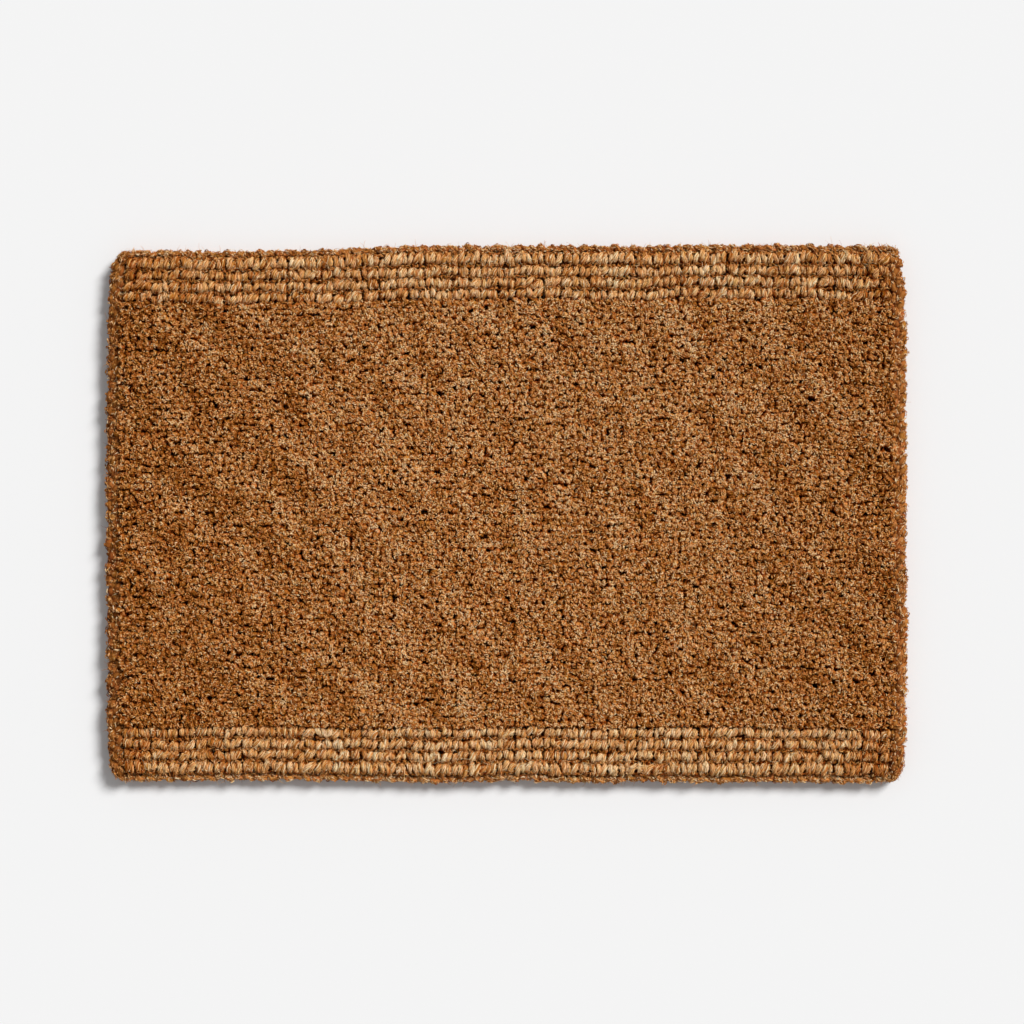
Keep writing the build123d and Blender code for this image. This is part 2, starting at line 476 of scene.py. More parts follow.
def add_attributes(mesh, batches, heights):
    """Gives the mesh's points what the coir materials read: tint, height and grain."""
    tint = np.concatenate([batch["tint"] for batch in batches])
    grain = np.concatenate([batch["grain"] for batch in batches])
    mesh.attributes.new("tint", "FLOAT", "POINT").data.foreach_set("value", tint)
    mesh.attributes.new("height", "FLOAT", "POINT").data.foreach_set("value", heights / MAT_HIGH[2])
    mesh.attributes.new("grain", "FLOAT_VECTOR", "POINT").data.foreach_set("vector", grain.ravel())


def make_piece(name, batches, material):
    """One mesh object from several batches of tubes, riding on the mat's body."""
    starts = np.cumsum([0] + [len(batch["points"]) for batch in batches])
    points = hand_made(np.concatenate([batch["points"] for batch in batches]))
    just_above_floor = 0.05
    points[:, 2] = np.maximum(points[:, 2], just_above_floor)
    quads = np.concatenate([batch["quads"] + start for batch, start in zip(batches, starts)])
    caps = np.concatenate([batch["caps"] + start for batch, start in zip(batches, starts)])
    corners = np.concatenate([quads.ravel(), caps.ravel()])
    sizes = np.concatenate([np.full(len(quads), 4), np.full(len(caps), 3)])
    uv = np.concatenate([batch["quad_uv"] for batch in batches] + [batch["cap_uv"] for batch in batches])

    mesh = bpy.data.meshes.new(name)
    mesh.vertices.add(len(points))
    mesh.vertices.foreach_set("co", (points * MM).ravel())
    mesh.loops.add(len(corners))
    mesh.loops.foreach_set("vertex_index", corners)
    mesh.polygons.add(len(sizes))
    mesh.polygons.foreach_set("loop_start", np.concatenate([[0], np.cumsum(sizes)[:-1]]))
    mesh.polygons.foreach_set("use_smooth", np.ones(len(sizes), bool))
    mesh.uv_layers.new(name="OFBake").uv.foreach_set("vector", uv.ravel())
    add_attributes(mesh, batches, points[:, 2])
    mesh.update(calc_edges=True)
    mesh.materials.append(material)
    piece = bpy.data.objects.new(name, mesh)
    bpy.context.scene.collection.objects.link(piece)
    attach(piece, "root")
    return piece


# ---- short fibres

def shades(tone, spread, count, rng):
    """A shade for each of count fibres, spread about its tone."""
    return np.clip(tone + spread * rng.normal(size=count), 0, 1)


def around_headings(count, rng, rise):
    """Unit directions all round, lifted towards up by rise."""
    angle = rng.uniform(0, TURN, count)
    return unit(np.stack([np.cos(angle), np.sin(angle), np.broadcast_to(rise, (count,))], axis=1))


def pointed_fibres(points, tint, kind, rng):
    """Short bent fibres, thickest in the middle, each through four points."""
    radius = rng.uniform(*kind.radius, len(points))
    middle = points[:, 1:3]
    ends = (points[:, 0], points[:, 3])
    radii = np.repeat(radius[:, None], 2, axis=1)
    return tubes(middle, radii, 3, tint, loose_hint(middle, rng), kind.area, rng, ends=ends)


def loose_fibres(roots, headings, lengths, curl, tone, kind, rng):
    """Thin fibres that leave their roots along their headings, and curl and thin out as they go."""
    count = len(roots)
    radius = rng.uniform(*kind.radius, count)
    tint = shades(tone, kind.spread, count, rng)
    step = np.linspace(0, 1, 5)[None, :, None]
    bend = unit(np.cross(headings, rng.normal(size=(count, 3))))
    bend_again = unit(np.cross(headings, bend))
    wag = np.sin(step * math.pi * rng.uniform(0.6, 1.8, (count, 1, 1))) * rng.uniform(-1, 1, (count, 1, 1))
    paths = (
        roots[:, None, :]
        + headings[:, None, :] * lengths[:, None, None] * step
        + bend[:, None, :] * (lengths * curl)[:, None, None] * step ** 2
        + bend_again[:, None, :] * (lengths * curl * 0.5)[:, None, None] * wag
    )
    taper = np.linspace(1.0, 0.4, 5)[None, :] * radius[:, None]
    return tubes(paths, taper, 3, tint, loose_hint(paths, rng), kind.area, rng)


def stray_fibres(roots, rise, curl, kind, rng):
    """Thin, pale, loose fibres that stand out of the pile in all directions. rise is a range."""
    count = len(roots)
    headings = around_headings(count, rng, rng.uniform(*rise, count))
    lengths = rng.uniform(*kind.length, count)
    return loose_fibres(roots, headings, lengths, curl, STRAY_TONE, kind, rng)


def tangle(anchors, tone, kind, rng):
    """Curly fibres lying in all directions over the given points, arched up, with their ends sunk.

    The kind's length is from a fibre's middle to its end.
    """
    count = len(anchors)
    tint = shades(tone, kind.spread, count, rng)
    heading = around_headings(count, rng, 0.0) * rng.uniform(*kind.length, count)[:, None]
    aside = np.cross(UP, heading) * rng.uniform(-0.8, 0.8, count)[:, None]

    def rise(least, most):
        return rng.uniform(least, most, count)[:, None] * UP

    points = np.stack(
        [
            anchors - heading + aside * 0.5 + rise(-2.6, -0.8),
            anchors - heading * 0.4 - aside * 0.3 + rise(-0.1, 1.5),
            anchors + heading * 0.4 - aside * 0.3 + rise(-0.1, 1.5),
            anchors + heading + aside * 0.5 + rise(-2.2, 0.8),
        ],
        axis=1,
    )
    return pointed_fibres(points, tint, kind, rng)


def surface_fibres(spines, centres, hint, surface, bare, count, wander, tone, kind, rng):
    """Short fibres lying on the outer side of yarns that wind round their centres.

    Each crosses the surface somewhere and has its ends tucked in or just loose. surface is how far they lie
    from their yarn's spine, bare is how many of the spine's points at each end they stay off, and wander is
    how far they stray from the yarn's direction, in radians.
    """
    owner = rng.integers(0, len(spines), count)
    place = rng.integers(bare, spines.shape[1] - bare, count)
    tangents, first, second = side_directions(spines, hint)
    turn = rng.uniform(0, TURN, count)[:, None]
    any_side = np.cos(turn) * first[owner, place] + np.sin(turn) * second[owner, place]
    side = unit(any_side + 1.1 * unit(spines[owner, place] - centres[owner, place]))
    along = tangents[owner, place]
    slope = wander * rng.normal(size=count)[:, None]
    heading = np.cos(slope) * along + np.sin(slope) * np.cross(side, along)
    aside = np.cross(heading, side)
    reach = rng.uniform(*kind.length, count)[:, None] / 2
    tuck = reach ** 2 / (2 * surface) * np.sin(slope) ** 2
    lift = rng.uniform(0.2, 1.4, count)[:, None]
    loose_end = rng.uniform(-0.6, 1.8, count)[:, None]
    middle = spines[owner, place] + side * surface
    points = np.stack(
        [
            middle - heading * reach - side * (tuck + 0.5),
            middle - heading * reach * 0.35 + side * lift + aside * rng.normal(size=(count, 1)) * 0.4,
            middle + heading * reach * 0.35 + side * lift + aside * rng.normal(size=(count, 1)) * 0.4,
            middle + heading * reach + side * (loose_end - tuck),
        ],
        axis=1,
    )
    tint = shades(tone, kind.spread, count, rng)
    return pointed_fibres(points, tint, kind, rng)


# ---- materials

def ramp(tree, stops, value):
    """The colour that a colour ramp with the given (position, colour) stops gives a value."""
    node = tree.nodes.new("ShaderNodeValToRGB")
    elements = node.color_ramp.elements
    while len(elements) < len(stops):
        elements.new(0.5)
    for element, (position, colour) in zip(elements, stops):
        element.position = position
        element.color = (*colour, 1)
    tree.links.new(value, node.inputs["Fac"])
    return node.outputs["Color"]


def attribute(tree, name):
    node = tree.nodes.new("ShaderNodeAttribute")
    node.attribute_name = name
    return node.outputs


def noise(tree, scale, detail, vector):
    node = tree.nodes.new("ShaderNodeTexNoise")
    node.inputs["Scale"].default_value = scale
    node.inputs["Detail"].default_value = detail
    tree.links.new(vector, node.inputs["Vector"])
    return node.outputs["Fac"]


def grain_noise(tree, scale, detail):
    """Noise over the unrolled fibre, with a scale for each of the grain's directions."""
    node = tree.nodes.new("ShaderNodeMapping")
    node.inputs["Scale"].default_value = scale
    tree.links.new(attribute(tree, "grain")["Vector"], node.inputs["Vector"])
    return noise(tree, 1.0, detail, node.outputs["Vector"])


def add_share(tree, value, share, total):
    """total + value * share"""
    node = tree.nodes.new("ShaderNodeMath")
    node.operation = "MULTIPLY_ADD"
    node.inputs[1].default_value = share
    tree.links.new(value, node.inputs[0])
    tree.links.new(total, node.inputs[2])
    return node.outputs["Value"]


def spread_out(tree, value, outcome, source=(0.0, 1.0)):
    """Maps a value from the source range to the outcome range."""
    node = tree.nodes.new("ShaderNodeMapRange")
    node.inputs["From Min"].default_value = source[0]
    node.inputs["From Max"].default_value = source[1]
    node.inputs["To Min"].default_value = outcome[0]
    node.inputs["To Max"].default_value = outcome[1]
    tree.links.new(value, node.inputs["Value"])
    return node.outputs["Result"]


def fibre_shade(tree, streaks):
    """The fibre's own tint, pushed lighter or darker by its streaks and by where it is."""
    patches = noise(tree, 38.0, 2.0, tree.nodes.new("ShaderNodeTexCoord").outputs["Object"])
    shade = add_share(tree, streaks, STREAK_SHARE, attribute(tree, "tint")["Fac"])
    shade = add_share(tree, patches, PATCH_SHARE, shade)
    centre = tree.nodes.new("ShaderNodeMath")
    centre.operation = "SUBTRACT"
    centre.inputs[1].default_value = (STREAK_SHARE + PATCH_SHARE) / 2
    tree.links.new(shade, centre.inputs[0])
    return centre.outputs["Value"]


def shifted_hue(tree, colour):
    """The colour with a hue of each fibre's own, from noise so slow that it hardly changes over a fibre."""
    slow = grain_noise(tree, (0.04, 0.04, 0.04), 0.0)
    hue = spread_out(tree, slow, (0.5 - HUE_SPREAD, 0.5 + HUE_SPREAD))
    node = tree.nodes.new("ShaderNodeHueSaturation")
    tree.links.new(hue, node.inputs["Hue"])
    tree.links.new(colour, node.inputs["Color"])
    return node.outputs["Color"]


def painted_depth_shade(tree, colour, root_shade_gamma, depth_heights):
    """Painted shade: the colour made richer and darker towards the roots, from its height in the mat."""
    gamma = spread_out(tree, attribute(tree, "height")["Fac"], (root_shade_gamma, 1.0), depth_heights)
    node = tree.nodes.new("ShaderNodeGamma")
    tree.links.new(colour, node.inputs["Color"])
    tree.links.new(gamma, node.inputs["Gamma"])
    return node.outputs["Color"]


def coir(name, stops, root_shade_gamma, depth_heights, grain_depth, roughness):
    """Coir fibre: a shade and hue for each fibre, streaks along it, and painted shade that makes it richer
    and darker towards the roots.

    depth_heights are the heights, as shares of the mat's, where the painted shade is full and where it
    ends.
    """
    material = bpy.data.materials.new(name)
    material.use_nodes = True
    tree = material.node_tree
    shader = tree.nodes["Principled BSDF"]
    streaks = grain_noise(tree, (2.2, 2.2, 0.16), 3.0)
    colour = shifted_hue(tree, ramp(tree, stops, fibre_shade(tree, streaks)))
    tree.links.new(painted_depth_shade(tree, colour, root_shade_gamma, depth_heights), shader.inputs["Base Color"])
    gloss = spread_out(tree, streaks, (roughness - 0.12, roughness + 0.12))
    tree.links.new(gloss, shader.inputs["Roughness"])

    bump = tree.nodes.new("ShaderNodeBump")
    bump.inputs["Strength"].default_value = 0.9
    bump.inputs["Distance"].default_value = grain_depth * MM
    tree.links.new(streaks, bump.inputs["Height"])
    tree.links.new(bump.outputs["Normal"], shader.inputs["Normal"])
    shader.inputs["Specular IOR Level"].default_value = 0.04
    return material


# ---- cut pile

def leg_places(low, high, rng):
    """Where the yarns' two legs come up, in two lines along a row."""
    columns = round((high[0] - low[0]) / TUFT_PITCH)
    legs = 2 * columns
    evenly = np.linspace(low[0] - ROW_OVERHANG, high[0] + ROW_OVERHANG, columns)
    side = np.repeat([-1.0, 1.0], columns)
    leg_x = bunched(np.tile(evenly, 2), TUFT_BUNCHING) + LEG_STRAY[0] * rng.normal(size=legs)
    leg_y = (low[1] + high[1]) / 2 + side * (high[1] - low[1]) / 4 + LEG_STRAY[1] * rng.normal(size=legs)
    return leg_x, leg_y


def ply_ends(leg_x, leg_y, pair, high, rng):
    """Where the plies end: two to a leg, side by side in any direction, some sunk into a pit."""
    legs, count = len(leg_x), len(pair)
    turn = rng.uniform(0, math.pi, legs)[pair] + np.tile([0, math.pi], legs)
    over_seam = SEAM_LEAN * np.sign(leg_x) * np.exp((np.abs(leg_x) - high[0]) / SEAM_LEAN_REACH)
    top = np.stack([leg_x + over_seam, leg_y, np.full(legs, high[2] - PLY_END_DEPTH)], axis=1)[pair]
    top[:, 0] += PLY_SPREAD * np.cos(turn) + PLY_STRAY * rng.normal(size=count)
    top[:, 1] += PLY_SPREAD * np.sin(turn) + PLY_STRAY * rng.normal(size=count)
    top[:, 2] += PLY_UNEVENNESS * rng.normal(size=count) + 0.6 * ripple(leg_x, leg_y, 32, 22)[pair]
    near_warp = np.cos(top[:, 0] / (2 * WARP_PAIR_PITCH) * TURN) ** 8
    sunk = rng.random(count) < PIT_SHARE + PIT_SHARE_ON_WARP * near_warp
    top[:, 2] -= np.where(sunk, rng.uniform(*PIT_DEPTH, count), 0)
    return top


def ply_cores(roots, top, tint, girth, rng):
    """The solid inside of each ply, squashed in any direction, darkened as painted shade for the gaps
    between the curls.
    """
    paths = np.stack([roots, top * [1, 1, SHOULDER_HEIGHT], top], axis=1)
    radii = np.array(PLY_RADII) * girth[:, None]
    squash = rng.uniform(0.7, 1.0, len(top))
    any_side = around_headings(len(top), rng, 0.0)[:, None, :]
    tint = tint - CORE_PAINTED_SHADE
    return tubes(paths, radii, 5, tint, any_side, (0, 0, 1, 0.3), rng, flat=squash, lumps=0.22, dome=0.4)


def deep_fibres(low, high, legs, rng):
    """Coarse fibres lying deeper, between the yarns, darkened as painted shade."""
    count = round(DEEP_PER_LEG * legs)
    x = rng.uniform(low[0], high[0], count)
    y = rng.uniform(low[1], high[1], count)
    z = high[2] - rng.uniform(*DEEP_DEPTH, count)
    return tangle(np.stack([x, y, z], axis=1), DEEP_SHADED_TONE, DEEP_FIBRES, rng)


def cut_pile_row(node, number, material):
    """A row of cut pile: two-ply yarns standing up as two legs, with a tangle of curls over each ply."""
    rng = np.random.default_rng(1000 + number)
    low, high = box_mm(node)
    centre_y = (low[1] + high[1]) / 2
    leg_x, leg_y = leg_places(low, high, rng)
    legs = len(leg_x)
    pair = np.repeat(np.arange(legs), 2)
    count = len(pair)
    top = ply_ends(leg_x, leg_y, pair, high, rng)
    girth = rng.uniform(*PLY_GIRTHS, count)
    root_y = centre_y + (leg_y[pair] - centre_y) * LEG_GATHER
    roots = np.stack([leg_x[pair], root_y, np.full(count, low[2] + 0.5)], axis=1)
    leg_tint = CUT_TONE + 0.03 * leg_y / HALF_WIDTH + 0.08 * rng.normal(size=legs) + tone_by_place(leg_x, leg_y)
    ply_tint = shades(leg_tint[pair], 0.06, count, rng)
    cores = ply_cores(roots, top, ply_tint, girth, rng)

    owner = np.repeat(np.arange(count), CURLS_PER_PLY)
    anchors = top[owner] + rng.normal(size=(len(owner), 3)) * [1.3, 1.3, 0.0] + 0.9 * UP
    curls = tangle(anchors, ply_tint[owner] + CURLS_PAINTED_LIGHT, CURLS, rng)
    deep = deep_fibres(low, high, legs, rng)
    picked = rng.choice(count, legs // 2 // COLUMNS_PER_STRAY, replace=False)
    strays = stray_fibres(top[picked] + UP, (0.0, 0.25), CUT_STRAY_CURL, CUT_STRAYS, rng)
    piece = make_piece(f"{node}_tufts", [cores, curls, deep, strays], material)
    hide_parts(node)


# ---- loops

def end_fade(x):
    """0 over most of a row of loops, rising to 1 near the mat's ends."""
    return np.clip((np.abs(x) - (HALF_LENGTH - END_FADE[0])) / END_FADE[1], 0, 1)


def loop_arches(node, number, count, low, high, rng):
    """The middle lines of a row's loops, and how thick each is along its line.

    Each is an arch, then both legs going straight down and a little inwards.
    """
    centre_y = (low[1] + high[1]) / 2
    evenly = np.linspace(low[0] - ROW_OVERHANG, high[0] + ROW_OVERHANG, count)
    x = bunched(evenly + LOOP_STRAY[0] * rng.normal(size=count), LOOP_BUNCHING)
    y = centre_y + 0 * x
    slant = LOOP_SLANT + LOOP_SLANT_SPREAD * rng.normal(size=count) + 0.9 * ripple(x, y, 60, 31)
    unevenness = CROWN_UNEVENNESS * rng.normal(size=count)
    crown = high[2] - LOOP_CROWN_DEPTH + unevenness + 0.5 * ripple(x, y, 45, 32)
    shift_y = LOOP_STRAY[1] * rng.normal(size=count) + 0.9 * ripple(x, y, 50, 33 + number)
    girth = rng.uniform(*LOOP_GIRTHS, count)[:, None]
    width = ((high[1] - low[1]) / 2 - LOOP_SIDE_GAP) * rng.uniform(*LOOP_WIDTHS, count)[:, None]

    bow = np.linspace(-1, 1, LOOP_RINGS)
    angle = np.clip(bow / LOOP_LEG_START, -1, 1) * math.pi / 2
    leg = np.clip(np.abs(bow) - LOOP_LEG_START, 0, 1) / (1 - LOOP_LEG_START)
    reach = np.ones(LOOP_RINGS)
    if node.endswith("_1"):
        reach = np.where(bow * np.sign(centre_y) > 0, LOOP_SEAM_REACH, 1.0)
    paths = np.zeros((count, LOOP_RINGS, 3))
    paths[..., 0] = x[:, None] + slant[:, None] * np.sin(angle)
    paths[..., 1] = centre_y + shift_y[:, None] + width * np.sin(angle) * reach - np.sign(bow) * leg * 1.0
    paths[..., 2] = crown[:, None] - (1 - np.cos(angle)) * LOOP_ARCH - leg * LOOP_LEG
    paths[:, 1:-1] += 0.4 * rng.normal(size=(count, LOOP_RINGS - 2, 3))
    puff = girth * (0.72 + 0.46 * np.cos(angle))
    return x, crown, paths, puff


def loop_shade_filler(x, centre_y, crown, tint, rng):
    """A dark filler in the hollow inside each loop, so that no floor shows between the loops: painted shade
    in the hollows.
    """
    tops = np.stack([x, np.full(len(x), centre_y), crown - FILLER_DEPTH], axis=1)
    paths = straight_paths(tops * [1, 1, 0.3], tops, 3)
    radii = np.full((len(x), 3), FILLER_RADIUS)
    tint = tint - FILLER_PAINTED_SHADE
    return tubes(paths, radii, 6, tint, ALONG_X, (0, 0.9, 1, 0.92), rng, lumps=0.15, dome=0.3)


def loop_strands(paths, puff, tint, rng):
    """The spun strands round each loop's yarn, which differ in shade: their paths and their tubes."""
    count = len(paths)
    offset = LOOP_STRAND_OFFSET * puff * rng.uniform(0.9, 1.15, (count, 1))
    strands = twisted_plies(paths, ALONG_X, LOOP_STRANDS, offset, LOOP_TWIST, rng.uniform(0, TURN, count))
    strands[:, 1:-1] += 0.3 * rng.normal(size=(len(strands), LOOP_RINGS - 2, 3))
    strand_tint = shades(np.tile(tint, LOOP_STRANDS), 0.19, len(strands), rng)
    radii = LOOP_STRAND_RADIUS * np.tile(puff, (LOOP_STRANDS, 1)) * rng.uniform(0.8, 1.2, (len(strands), 1))
    sheath = tubes(strands, radii, 3, strand_tint, loose_hint(strands, rng), (0.2, 0, 1, 0.4), rng)
    return strands, sheath


def loop_fuzz(x, paths, strands, rng):
    """Short fibres on the loops, in three zones along the row."""
    near_left, near_right = x < -HALF_LENGTH + FUZZ_END_ZONE, x > HALF_LENGTH - FUZZ_END_ZONE
    zones = (near_left, ~near_left & ~near_right, near_right)
    left, bottom, right, top = LOOP_FUZZ.area
    cell = (right - left) / len(zones)
    batches = []
    for index, (zone, tone) in enumerate(zip(zones, FUZZ_TONES)):
        spines = strands[np.tile(zone, LOOP_STRANDS)]
        centres = np.tile(paths[zone], (LOOP_STRANDS, 1, 1))
        kind = LOOP_FUZZ._replace(area=(left + index * cell, bottom, left + (index + 1) * cell, top))
        count = round(FUZZ_PER_STRAND * len(spines))
        batch = surface_fibres(
            spines, centres, ALONG_X, LOOP_STRAND_RADIUS, 2, count, FUZZ_WANDER, tone, kind, rng
        )
        batches.append(batch)
    return batches


def groove_fibres(low, high, rng):
    """Fibres tangled in the groove on each side of a row of loops, darkened as painted shade in the groove.
    """
    count = round(GROOVE_PER_MM * (high[0] - low[0]))
    x = rng.uniform(low[0], high[0], count)
    y = rng.choice([low[1], high[1]], count) + 1.1 * rng.normal(size=count)
    z = high[2] - rng.uniform(*GROOVE_DEPTH, count)
    return tangle(np.stack([x, y, z], axis=1), GROOVE_SHADED_TONE - 0.16 * end_fade(x), GROOVE_FIBRES, rng)


def loop_row(node, number, material):
    """A row of uncut loops: fuzzy yarn arched across the row, side by side, darker at the mat's ends."""
    rng = np.random.default_rng(2000 + number)
    low, high = box_mm(node)
    centre_y = (low[1] + high[1]) / 2
    count = round((high[0] - low[0]) / LOOP_PITCH)
    x, crown, paths, puff = loop_arches(node, number, count, low, high, rng)
    tint = LOOP_TONE - 0.02 * np.sign(centre_y) + 0.05 * rng.normal(size=count)
    tint = tint - 0.20 * end_fade(x) + tone_by_place(x, centre_y)
    middle_radii, shaded_middle_tint = MIDDLE_RADIUS * puff, tint - MIDDLE_PAINTED_SHADE
    middle = tubes(paths, middle_radii, 5, shaded_middle_tint, ALONG_X, (0, 0, 0.2, 0.4), rng, lumps=0.1)
    shade_filler = loop_shade_filler(x, centre_y, crown, tint, rng)
    strands, sheath = loop_strands(paths, puff, tint, rng)
    fuzz = loop_fuzz(x, paths, strands, rng)
    groove = groove_fibres(low, high, rng)

    stray_count = count // LOOPS_PER_STRAY
    picked = rng.choice(count, stray_count, replace=False)
    crowns = paths[picked, LOOP_RINGS // 2]
    roots = crowns + rng.normal(size=(stray_count, 3)) * [1.5, 3.0, 0.4] + UP * 2.2
    strays = stray_fibres(roots, (-0.05, 0.25), LOOP_STRAY_CURL, LOOP_STRAYS, rng)
    batches = [middle, shade_filler, sheath, *fuzz, groove, strays]
    piece = make_piece(f"{node}_loops", batches, material)
    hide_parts(node)


# ---- braids

class Strip(NamedTuple):
    """Where an edge braid lies: its box, the axes along it and across it, and which way is outward."""

    low: np.ndarray
    high: np.ndarray
    run: int
    across: int
    outward: int

    @property
    def size(self):
        return self.high - self.low

    @property
    def middle(self):
        return (self.low + self.high) / 2


def edge_strip(node, outward):
    low, high = box_mm(node)
    run = int(np.argmax(high - low))
    return Strip(low, high, run, 1 - run, outward)


def plaited_strands(strip, strand_radius, number):
    """The paths of three strands that pass over and under each other, gathered at both ends."""
    size, middle = strip.size, strip.middle
    swing = (size / 2) - strand_radius
    rings = round(size[strip.run] / BRAID_RING_LENGTH)
    run = np.linspace(strip.low[strip.run] + 1.0, strip.high[strip.run] - 1.0, rings)
    plait = run / PLAIT_LENGTH * TURN + 0.9 * ripple(run, 0 * run, 80, 41 + number)
    wide, narrow = (strip.across, 2) if size[strip.across] > size[2] / 2 else (2, strip.across)
    taper = 1 - 0.65 * np.exp(-(size[strip.run] / 2 - np.abs(run - middle[strip.run])) / 5.0)
    paths = np.zeros((3, rings, 3))
    for strand in range(3):
        phase = plait + strand * TURN / 3
        paths[strand, :, strip.run] = run
        paths[strand, :, wide] = middle[wide] + taper * swing[wide] * np.sin(phase)
        paths[strand, :, narrow] = middle[narrow] + taper * swing[narrow] * np.sin(2 * phase)
    waves = 1.0 * ripple(run, 0 * run, 22, 51 + number)
    knobs = 1.5 * ripple(run, 0 * run, 10, 61 + number)
    paths[..., strip.across] += waves + knobs
    paths[..., 2] += 1.1 * ripple(run, 0 * run, 11, 71 + number)
    return paths


def seam_filling(strip, tone, rng):
    """Fibres that fill the seam between the braid and the pile, darkened as painted shade in the seam."""
    count = round(strip.size[strip.run] * SEAM_PER_MM)
    anchors = np.zeros((count, 3))
    anchors[:, strip.run] = rng.uniform(strip.low[strip.run] + 4, strip.high[strip.run] - 4, count)
    from_middle = strip.size[strip.across] / 2 + rng.uniform(0, 2.5, count)
    anchors[:, strip.across] = strip.middle[strip.across] - strip.outward * from_middle
    anchors[:, 2] = rng.uniform(0.25, 0.98, count) * strip.high[2]
    return tangle(anchors, tone - SEAM_PAINTED_SHADE, SEAM_FIBRES, rng)


def frayed_ends(strip, tone, rng):
    """Curling fibres that burst out of the braid's two ends."""
    count, size, middle = FRAYED_PER_BRAID, strip.size, strip.middle
    end = rng.choice([-1.0, 1.0], count)
    roots = np.zeros((count, 3))
    roots[:, strip.run] = middle[strip.run] + end * (size[strip.run] / 2 - rng.uniform(1.0, 5.0, count))
    roots[:, strip.across] = middle[strip.across] + size[strip.across] * rng.uniform(-0.38, 0.38, count)
    roots[:, 2] = rng.uniform(0.15, 0.9, count) * strip.high[2]
    headings = rng.normal(size=(count, 3))
    headings[:, strip.run] = end * np.abs(headings[:, strip.run] + 0.5)
    lengths = rng.uniform(*FRAYED_FIBRES.length, count)
    return loose_fibres(roots, unit(headings), lengths, FRAYED_CURL, tone, FRAYED_FIBRES, rng)


def braid_strays(strip, tone, rng):
    """Stray fibres that stick out past the edge."""
    count = round(strip.size[strip.run] * BRAID_STRAYS_PER_MM)
    roots = np.zeros((count, 3))
    roots[:, strip.run] = rng.uniform(strip.low[strip.run] + 4, strip.high[strip.run] - 4, count)
    roots[:, strip.across] = strip.middle[strip.across] + strip.outward * strip.size[strip.across] * 0.35
    roots[:, 2] = rng.uniform(0.25, 0.95, count) * strip.high[2]
    headings = rng.normal(size=(count, 3)) * 0.9
    headings[:, strip.across] = strip.outward * np.abs(headings[:, strip.across] + 0.8)
    headings[:, 2] *= 0.4
    lengths = rng.uniform(*BRAID_STRAYS.length, count) * rng.uniform(0.5, 1.0, count)
    return loose_fibres(roots, unit(headings), lengths, BRAID_STRAY_CURL, tone, BRAID_STRAYS, rng)


def edge_braid(node, number, outward, tone, material):
    """A three-strand braid under coarse and fine fibres that hide most of its twist."""
    rng = np.random.default_rng(3000 + number)
    strip = edge_strip(node, outward)
    size = strip.size
    strand_radius = 0.22 * min(size[strip.across] * 1.7, size[2])
    strand_paths = plaited_strands(strip, strand_radius, number)
    rings = strand_paths.shape[1]
    hint = ALONG_X if strip.run == 1 else UP
    phase = rng.uniform(0, TURN, 3)
    offset = strand_radius * YARN_OFFSET
    yarns = twisted_plies(strand_paths, hint, STRAND_YARNS, offset, STRAND_TWIST, phase)
    yarn_radius = strand_radius * YARN_RADIUS
    # the core yarns are darkened as painted shade under the fibres
    tint = shades(tone, 0.06, len(yarns), rng) - BRAID_CORE_PAINTED_SHADE
    radii = yarn_radius * (1 + 0.10 * rng.normal(size=(len(yarns), rings)))
    core = tubes(yarns, radii, 7, tint, hint, (0, 0, 1, 0.3), rng, lumps=0.12, lengthwise=True)

    outside = size[strip.run] * (size[strip.across] + size[2])
    centres = np.broadcast_to(strand_paths.mean(axis=0), yarns.shape)
    count = round(outside * COARSE_PER_AREA)
    coarse = surface_fibres(
        yarns, centres, hint, yarn_radius, 1, count, COARSE_WANDER, tone, COARSE_FIBRES, rng
    )
    count = round(outside * FINE_PER_AREA)
    fine = surface_fibres(
        yarns, centres, hint, yarn_radius, 1, count, FINE_WANDER, tone + FINE_PAINTED_LIGHT, FINE_FIBRES, rng
    )
    filling = seam_filling(strip, tone, rng)
    frayed = frayed_ends(strip, tone, rng)
    strays = braid_strays(strip, tone, rng)
    batches = [core, coarse, fine, filling, frayed, strays]
    piece = make_piece(f"{node}_plait", batches, material)
    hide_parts(node)


# ---- ground weave and twine

def level_lines(low, high, axis, places, ring_length):
    """Lines along an axis at the middle height of a box, at the given places on the other axis."""
    starts = np.zeros((len(places), 3))
    starts[:, 1 - axis] = places
    starts[:, 2] = (low[2] + high[2]) / 2
    ends = starts.copy()
    starts[:, axis] = low[axis]
    ends[:, axis] = high[axis]
    return straight_paths(starts, ends, round((high[axis] - low[axis]) / ring_length))


def ground_yarns(node, name, places, axis, radius, ring_length, weave, material):
    """Parallel two-ply ground yarns, waving up and down as they pass the yarns that cross them.

    places are the yarns' places on the other axis, and weave is the height and the length of one wave.
    """
    rng = np.random.default_rng(4000 + len(places))
    low, high = box_mm(node)
    count = len(places)
    paths = level_lines(low, high, axis, places, ring_length)
    wave_height, wave_length = weave
    turned_every_other = np.arange(count)[:, None] * math.pi
    paths[..., 2] += wave_height * np.sin(paths[..., axis] / wave_length * TURN + turned_every_other)
    plies = twisted_plies(paths, UP, 2, radius * 0.4, GROUND_TWIST, rng.uniform(0, TURN, count))
    tint = shades(GROUND_TONE, 0.1, len(plies), rng)
    radii = np.full(plies.shape[:2], radius * 0.68)
    batch = tubes(plies, radii, 4, tint, UP, (0, 0, 1, 1), rng, lumps=0.06, lengthwise=True)
    piece = make_piece(name, [batch], material)
    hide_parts(node)


